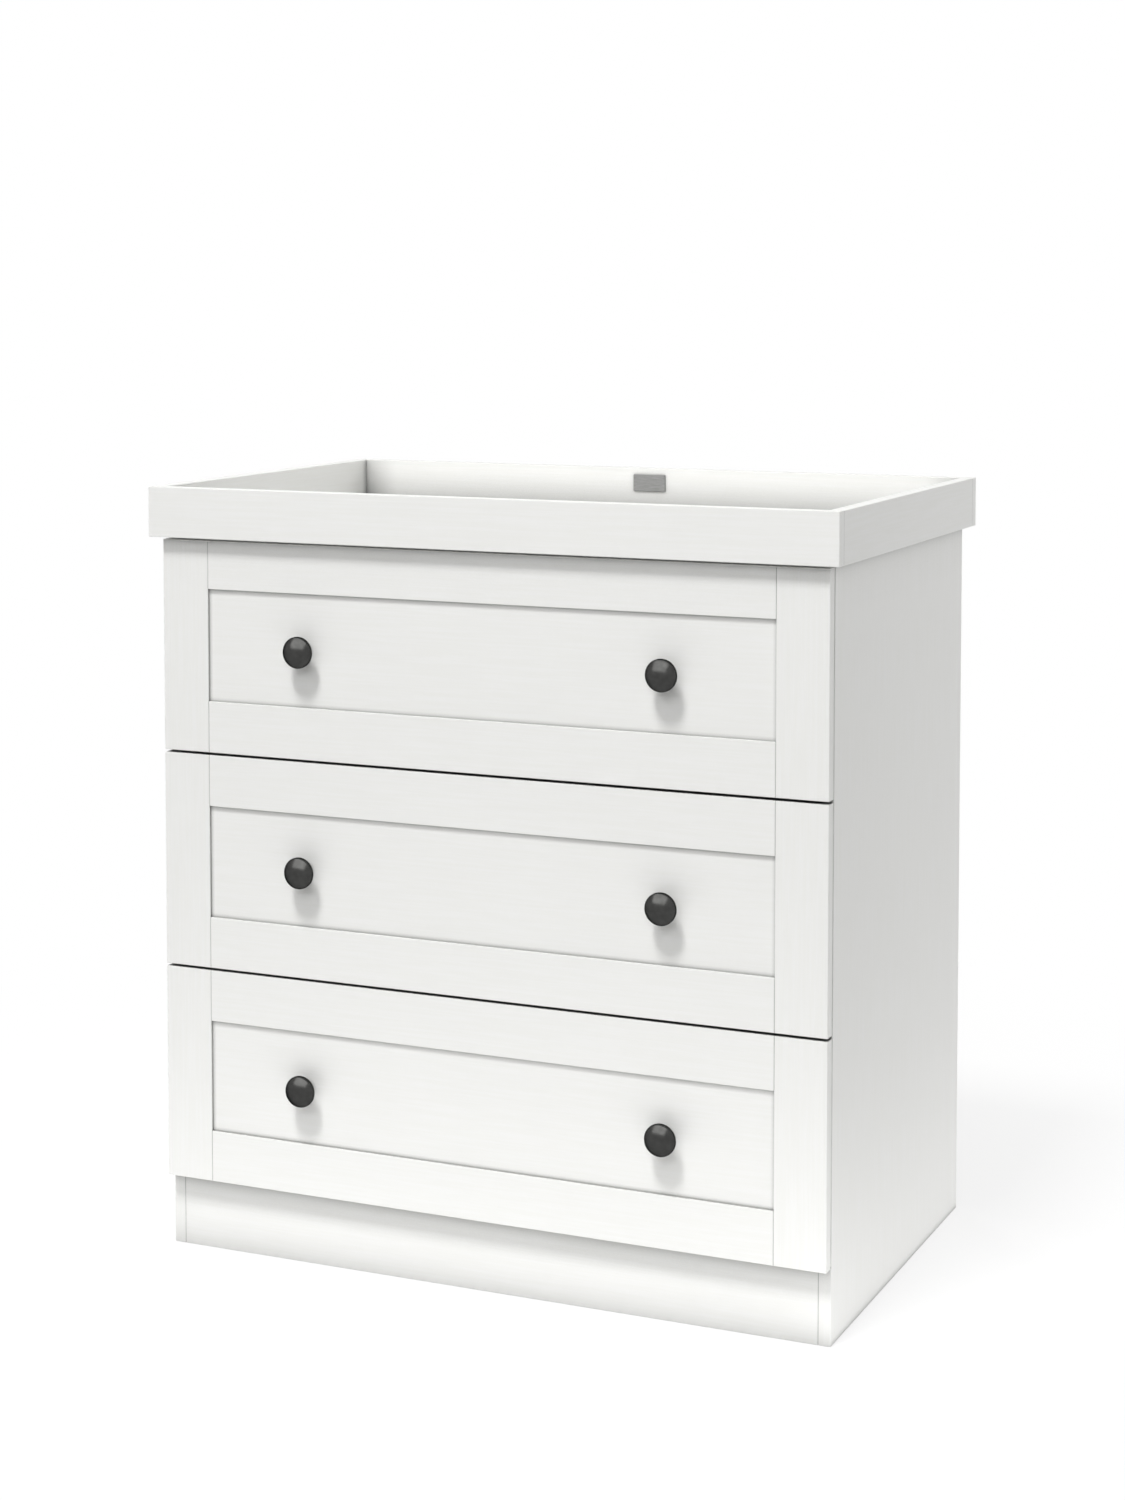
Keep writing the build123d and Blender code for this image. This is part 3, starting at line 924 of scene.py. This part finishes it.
class CHANGINGTABLE_OT_cam_fittings(Operator):
    """Make the cams under the top and bottom panels, each with a cross recess and its bolt"""

    bl_idname = "changing_table.cam_fittings"
    bl_label = "Cam fittings"

    def execute(self, context):
        fittings = context.scene.changing_table_fittings
        zinc = zinc_plate(context.scene.changing_table_finishes)
        low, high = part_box("cam_fittings")
        cam_radius = 7.5 * MM
        cam_height = 12.0 * MM
        cam_margin = 2.5 * MM
        cam_arm = 0.9 * MM
        cam_recess = 3.0 * MM
        bolt_radius = 3.0 * MM
        bolt_height = 7.5 * MM
        bolt_gap = 0.1 * MM
        ease = 0.5 * MM
        cam_x = high.x - 33.0 * MM
        bolt_x = cam_x + cam_radius + bolt_gap
        cam = turned_bar(cam_radius, cam_height, fittings.steps)
        ease_rings(cam, EASED_ANGLE, ease, 2)
        cross_recess(cam, cam_height, cam_margin, cam_arm, cam_recess)
        bolt = turned_bar(bolt_radius, high.x - bolt_x, fittings.steps)
        ease_rings(bolt, EASED_ANGLE, ease, 2)
        fixings = bmesh.new()
        for underside in (low.z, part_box("top_panel")[0].z):
            cam_z = underside + cam_height
            bolt_z = underside + bolt_height
            for y in (low.y + cam_radius, high.y - cam_radius):
                for side in (-1, 1):
                    add_copy(fixings, cam, facing((0, 0, -1), (side * cam_x, y, cam_z)))
                    add_copy(fixings, bolt, facing((side, 0, 0), (side * bolt_x, y, bolt_z)))
        cam.free()
        bolt.free()
        nodes = ["cam_fittings"]
        finish_piece("slotted_cam_fittings", fixings, zinc, "carcass", nodes)
        return {"FINISHED"}


class CHANGINGTABLE_OT_pegs(Operator):
    """Turn the beech pegs that locate the tray, and finish the dowels of the plinth"""

    bl_idname = "changing_table.pegs"
    bl_label = "Pegs and dowels"

    def execute(self, context):
        finishes = context.scene.changing_table_finishes
        fittings = context.scene.changing_table_fittings
        radius = 4.0 * MM
        low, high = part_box("locating_pegs")
        peg = turned_bar(radius, high.z - low.z, fittings.steps)
        ease_rings(peg, EASED_ANGLE, fittings.peg_chamfer, 3)
        pegs = bmesh.new()
        for x in (low.x + radius, high.x - radius):
            for y in (low.y + radius, high.y - radius):
                add_copy(pegs, peg, facing((0, 0, 1), (x, y, low.z)))
        peg.free()
        wood = bare_beech(finishes, "z")
        finish_piece("beech_locating_pegs", pegs, wood, "carcass", ["locating_pegs"])
        coat_nodes(["plinth_dowels"], bare_beech(finishes, "x"))
        return {"FINISHED"}


class CHANGINGTABLE_OT_badge_plate(Operator):
    """Make the bare brushed plate inside the tray's back wall, with round corners and edges"""

    bl_idname = "changing_table.badge_plate"
    bl_label = "Badge plate"

    def execute(self, context):
        metal = brushed_badge(context.scene.changing_table_finishes)
        corner_radius = 1.2 * MM
        face_ease = 0.6 * MM
        low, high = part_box("badge_plate")
        size = high - low
        plate = bmesh.new()
        place = Matrix.Translation((low + high) / 2) @ Matrix.Diagonal((*size, 1.0))
        bmesh.ops.create_cube(plate, size=1.0, matrix=place)
        corners = [e for e in plate.edges if abs(e.verts[0].co.y - e.verts[1].co.y) > size.y / 2]
        round_edges(plate, corners, corner_radius, 5)
        face = low.y + MERGED
        rim = [e for e in plate.edges if all(v.co.y < face for v in e.verts)]
        round_edges(plate, rim, face_ease, 3)
        bmesh.ops.recalc_face_normals(plate, faces=plate.faces[:])
        finish_piece("brushed_badge_plate", plate, metal, "tray", ["badge_plate"])
        return {"FINISHED"}


def seen_directly(tree):
    """1 for rays from the camera and for what gloss and glass show, 0 for light on the object."""
    path = put(tree, "ShaderNodeLightPath", {}, {})
    mirror_ray = put(
        tree,
        "ShaderNodeMath",
        {"operation": "MAXIMUM"},
        {0: path.outputs["Is Glossy Ray"], 1: path.outputs["Is Transmission Ray"]},
    )
    either = put(
        tree,
        "ShaderNodeMath",
        {"operation": "MAXIMUM"},
        {0: path.outputs["Is Camera Ray"], 1: mirror_ray.outputs["Value"]},
    )
    return either.outputs["Value"]


def studio_floor(floor_shade):
    """Pale studio floor: a little shadow near the object, and plain white further out."""
    # The shadow fades out between half a metre and a metre and a half from the object's middle.
    material, tree = blank_material("studio_floor")
    place = put(tree, "ShaderNodeTexCoord", {}, {}).outputs["Object"]
    away = put(tree, "ShaderNodeVectorMath", {"operation": "LENGTH"}, {"Vector": place})
    white = put(
        tree,
        "ShaderNodeMapRange",
        {"interpolation_type": "SMOOTHSTEP"},
        {
            "Value": away.outputs["Value"],
            "From Min": 0.5,
            "From Max": 1.5,
            "To Min": 1.0 - floor_shade,
            "To Max": 1.0,
        },
    ).outputs["Result"]
    seen = seen_directly(tree)
    share = put(tree, "ShaderNodeMath", {"operation": "MULTIPLY"}, {0: white, 1: seen})
    # It looks white, and throws back about half of the light that falls on it.
    tint = put(
        tree,
        "ShaderNodeValToRGB",
        {"stops": [(0.0, linear("B8B8B8")), (1.0, linear("FFFFFF"))]},
        {"Fac": seen},
    )
    matt = put(tree, "ShaderNodeBsdfDiffuse", {}, {"Color": tint.outputs["Color"]})
    glow = put(tree, "ShaderNodeEmission", {}, {"Strength": 1.0})
    mix = put(
        tree,
        "ShaderNodeMixShader",
        {},
        {0: share.outputs["Value"], 1: matt.outputs["BSDF"], 2: glow.outputs["Emission"]},
    )
    put(tree, "ShaderNodeOutputMaterial", {}, {"Surface": mix.outputs["Shader"]})
    return material


def studio_world(ambient):
    """White behind the object, and a little light on it from all round."""
    world = bpy.data.worlds.new("studio")
    world.use_nodes = True
    tree = world.node_tree
    tree.nodes.clear()
    white = linear("FFFFFF")
    glow = put(tree, "ShaderNodeBackground", {}, {"Color": white, "Strength": ambient})
    backdrop = put(tree, "ShaderNodeBackground", {}, {"Color": white, "Strength": 1.0})
    mix = put(
        tree,
        "ShaderNodeMixShader",
        {},
        {0: seen_directly(tree), 1: glow.outputs["Background"], 2: backdrop.outputs["Background"]},
    )
    put(tree, "ShaderNodeOutputWorld", {}, {"Surface": mix.outputs["Shader"]})
    return world


def softbox(name, power, size, place, aim):
    """A rectangular area light at a place, aimed at a point, that gloss doesn't show."""
    lamp = bpy.data.lights.new(name, "AREA")
    lamp.shape = "RECTANGLE"
    lamp.size, lamp.size_y = size
    lamp.energy = power
    light = bpy.data.objects.new(name, lamp)
    light.location = place
    light.rotation_euler = (Vector(aim) - Vector(place)).to_track_quat("-Z", "Y").to_euler()
    light.visible_camera = False
    light.visible_glossy = False
    bpy.context.scene.collection.objects.link(light)
    return light


class CHANGINGTABLE_OT_stage(Operator):
    """Set the pale floor, the soft studio light and the camera"""

    bl_idname = "changing_table.stage"
    bl_label = "Stage"

    def execute(self, context):
        scene = context.scene
        stage = scene.changing_table_stage

        half_width = 12.0
        below_feet = 0.5 * MM
        sheet = bmesh.new()
        bmesh.ops.create_grid(sheet, x_segments=1, y_segments=1, size=half_width)
        bmesh.ops.translate(sheet, verts=sheet.verts[:], vec=(0.0, 0.0, -below_feet))
        mesh = bpy.data.meshes.new("floor")
        sheet.to_mesh(mesh)
        sheet.free()
        mesh.materials.append(studio_floor(stage.floor_shade))
        floor = bpy.data.objects.new("floor", mesh)
        scene.collection.objects.link(floor)
        # The lacquer's painted corner shade doesn't count the floor, so the feet stay pale. The
        # floor still takes the object's shadow.
        floor.visible_shadow = False

        scene.world = studio_world(stage.ambient)

        middle = (0.0, 0.0, 0.5)
        softbox("key_softbox", stage.key_power, (1.8, 1.8), (-0.6, -4.5, 9.3), middle)
        softbox("front_softbox", stage.front_power, (3.4, 2.0), (0.3, -3.8, 2.9), middle)
        softbox("right_softbox", stage.right_power, (2.2, 2.2), (4.2, 1.8, 1.8), middle)
        softbox("back_softbox", stage.back_power, (2.4, 1.6), (-3.4, 3.4, 1.0), middle)
        # A bright floor throws light up at the plinth and the side, from just above the sheet.
        front, above = (0.0, -0.52, 0.002), (0.0, -0.52, 1.0)
        softbox("front_floor_light", stage.floor_power, (1.5, 0.5), front, above)
        right, above = (0.56, 0.05, 0.002), (0.56, 0.05, 1.0)
        softbox("side_floor_light", stage.side_power, (0.26, 1.1), right, above)
        # The knobs and the sheen show this panel, and no light from it falls on the object.
        gleam = softbox("gleam_panel", stage.gleam_power, (5.2, 3.4), (-0.8, -2.8, 3.2), middle)
        gleam.visible_glossy = True
        gleam.visible_diffuse = False

        lens = bpy.data.cameras.new("camera")
        lens.lens = stage.lens
        lens.sensor_width = 36.0
        lens.shift_y = stage.shift
        camera = bpy.data.objects.new("camera", lens)
        camera.location = stage.eye
        camera.rotation_euler = (stage.pitch, 0.0, stage.turn)
        scene.collection.objects.link(camera)
        scene.camera = camera
        scene.view_settings.view_transform = "Standard"
        return {"FINISHED"}


OPERATORS = (
    CHANGINGTABLE_OT_lacquered_boards,
    CHANGINGTABLE_OT_drawer_boxes,
    CHANGINGTABLE_OT_runner_rails,
    CHANGINGTABLE_OT_rollers,
    CHANGINGTABLE_OT_knobs,
    CHANGINGTABLE_OT_knob_screws,
    CHANGINGTABLE_OT_cam_fittings,
    CHANGINGTABLE_OT_pegs,
    CHANGINGTABLE_OT_badge_plate,
    CHANGINGTABLE_OT_stage,
)
SETTINGS = {
    "changing_table_finishes": ChangingTableFinishes,
    "changing_table_knobs": ChangingTableKnobs,
    "changing_table_fittings": ChangingTableFittings,
    "changing_table_stage": ChangingTableStage,
}


class CHANGINGTABLE_PT_sidebar(Panel):
    """Sizes, colours and steps of the changing table"""

    bl_label = "Changing Table"
    bl_idname = "CHANGINGTABLE_PT_sidebar"
    bl_space_type = "VIEW_3D"
    bl_region_type = "UI"
    bl_category = "Changing Table"

    def draw(self, context):
        for operator in OPERATORS:
            self.layout.operator(operator.bl_idname)
        for group in SETTINGS:
            box = self.layout.box()
            settings = getattr(context.scene, group)
            for name in settings.__annotations__:
                box.prop(settings, name)


def register():
    for group, settings in SETTINGS.items():
        bpy.utils.register_class(settings)
        setattr(bpy.types.Scene, group, PointerProperty(type=settings))
    for operator in OPERATORS:
        bpy.utils.register_class(operator)
    bpy.utils.register_class(CHANGINGTABLE_PT_sidebar)


def unregister():
    bpy.utils.unregister_class(CHANGINGTABLE_PT_sidebar)
    for operator in reversed(OPERATORS):
        bpy.utils.unregister_class(operator)
    for group, settings in SETTINGS.items():
        delattr(bpy.types.Scene, group)
        bpy.utils.unregister_class(settings)


def main():
    register()
    steps = bpy.ops.changing_table
    steps.lacquered_boards()
    steps.drawer_boxes()
    steps.runner_rails()
    steps.rollers()
    steps.knobs()
    steps.knob_screws()
    steps.cam_fittings()
    steps.pegs()
    steps.badge_plate()
    steps.stage()


if __name__ == "__main__":
    main()
